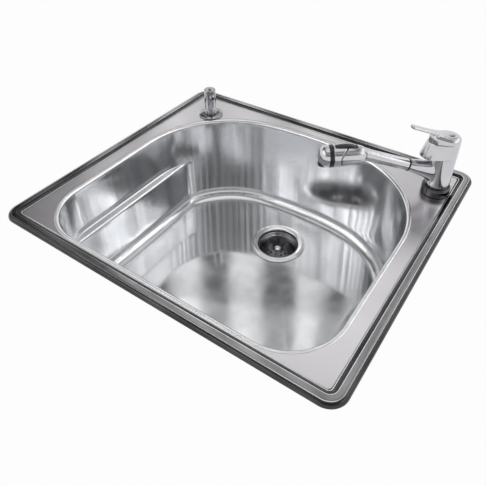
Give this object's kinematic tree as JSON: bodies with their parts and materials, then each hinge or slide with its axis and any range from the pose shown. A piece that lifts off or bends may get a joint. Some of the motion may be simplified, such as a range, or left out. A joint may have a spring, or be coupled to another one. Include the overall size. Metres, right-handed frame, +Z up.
{
  "type": "single bowl kitchen sink",
  "caption": "Drop-in stainless kitchen sink with one D-shaped bowl, basket strainer, single-lever pull-out spray mixer and deck soap pump.",
  "frame": {"origin": "plan centre of the rim on the worktop plane, the underside of the rim lip", "axes": "+X to the right along the long side, +Y to the back where the mixer stands, +Z up"},
  "size_m": [0.635, 0.559, 0.5225],
  "materials": {
    "satin_steel": "satin, polished on the rim and mouth",
    "plain_steel": "zinc plated",
    "polished_steel": "polished",
    "chrome": "bright plated",
    "brass": "machined",
    "black_rubber": "matt",
    "black_plastic": "matt",
    "white_plastic": "matt",
    "clear_plastic": "translucent",
    "putty": "matt",
    "card": "fibre"
  },
  "bodies": {
    "sink": {"sink_deck": "satin_steel", "sink_bowl": "satin_steel", "sound_pad": "black_rubber", "fixing_rails": "plain_steel", "clip_hooks": "plain_steel", "clip_screws": "plain_steel", "strainer_cup": "polished_steel", "flange_seal": "putty", "rubber_washer": "black_rubber", "friction_washer": "card", "strainer_lock_nut": "brass", "tailpiece_washer": "white_plastic", "tailpiece": "polished_steel", "coupling_nut": "brass", "tap_gasket": "black_rubber", "tap_base_ring": "chrome", "tap_core": "brass", "tap_rubber_washer": "black_rubber", "tap_steel_washer": "plain_steel", "tap_nut": "brass", "inlet_block": "brass", "cartridge": "white_plastic", "cartridge_nut": "brass", "pump_body": "chrome", "pump_gasket": "black_rubber", "pump_washer": "black_rubber", "pump_nut": "white_plastic", "pump_barrel": "white_plastic", "dip_tube": "white_plastic", "soap_bottle": "clear_plastic", "pump_spring": "plain_steel"},
    "spout": {"tap_body": "chrome", "dock_ring": "black_plastic"},
    "handle": {"handle_dome": "chrome", "cartridge_stem": "brass", "lever_pin": "chrome"},
    "lever": {"lever": "chrome"},
    "wand": {"wand_spigot": "white_plastic", "wand_tube": "chrome", "head_rear_shell": "chrome", "head_front_shell": "chrome", "selector_band": "black_plastic", "spray_tip": "chrome", "spray_face": "black_plastic", "spray_diverter": "white_plastic", "rocker_pin": "chrome"},
    "rocker": {"spray_rocker": "black_plastic"},
    "basket": {"basket": "polished_steel", "basket_post": "polished_steel", "basket_knob": "polished_steel", "basket_stopper": "black_rubber"},
    "pump_plunger": {"pump_stem": "white_plastic"},
    "pump_top": {"pump_head": "chrome"}
  },
  "joints": [
    {"name": "spout_swivel", "type": "hinge", "parent": "sink", "child": "spout", "pos_m": [0.269, 0.196, 0.018], "axis": [0, 0, 1], "range_deg": [-55, 55]},
    {"name": "mixer_swivel", "type": "hinge", "parent": "sink", "child": "handle", "pos_m": [0.269, 0.196, 0.081], "axis": [0, 0, 1], "range_deg": [-45, 45]},
    {"name": "lever_tilt", "type": "hinge", "parent": "handle", "child": "lever", "pos_m": [0.2809, 0.20513, 0.1141], "axis": [-0.6088, 0.7934, 0], "range_deg": [0, 25]},
    {"name": "spray_pull", "type": "slide", "parent": "spout", "child": "wand", "axis": [-0.7566, -0.5806, 0.3007], "range_m": [0, 0.038]},
    {"name": "spray_rocker_tilt", "type": "hinge", "parent": "wand", "child": "rocker", "pos_m": [0.13479, 0.09302, 0.10028], "axis": [0.6088, -0.7934, 0], "range_deg": [-5, 5]},
    {"name": "basket_lift", "type": "slide", "parent": "sink", "child": "basket", "axis": [0, 0, 1], "range_m": [0, 0.06]},
    {"name": "pump_press", "type": "slide", "parent": "sink", "child": "pump_plunger", "axis": [0, 0, -1], "range_m": [0, 0.008], "stiffness_N_per_m": 400, "springref_m": -0.012, "deforming": ["pump_spring"]},
    {"name": "pump_turn", "type": "hinge", "parent": "pump_plunger", "child": "pump_top", "pos_m": [-0.231, 0.194, 0.043], "axis": [0, 0, 1], "continuous": true}
  ]
}
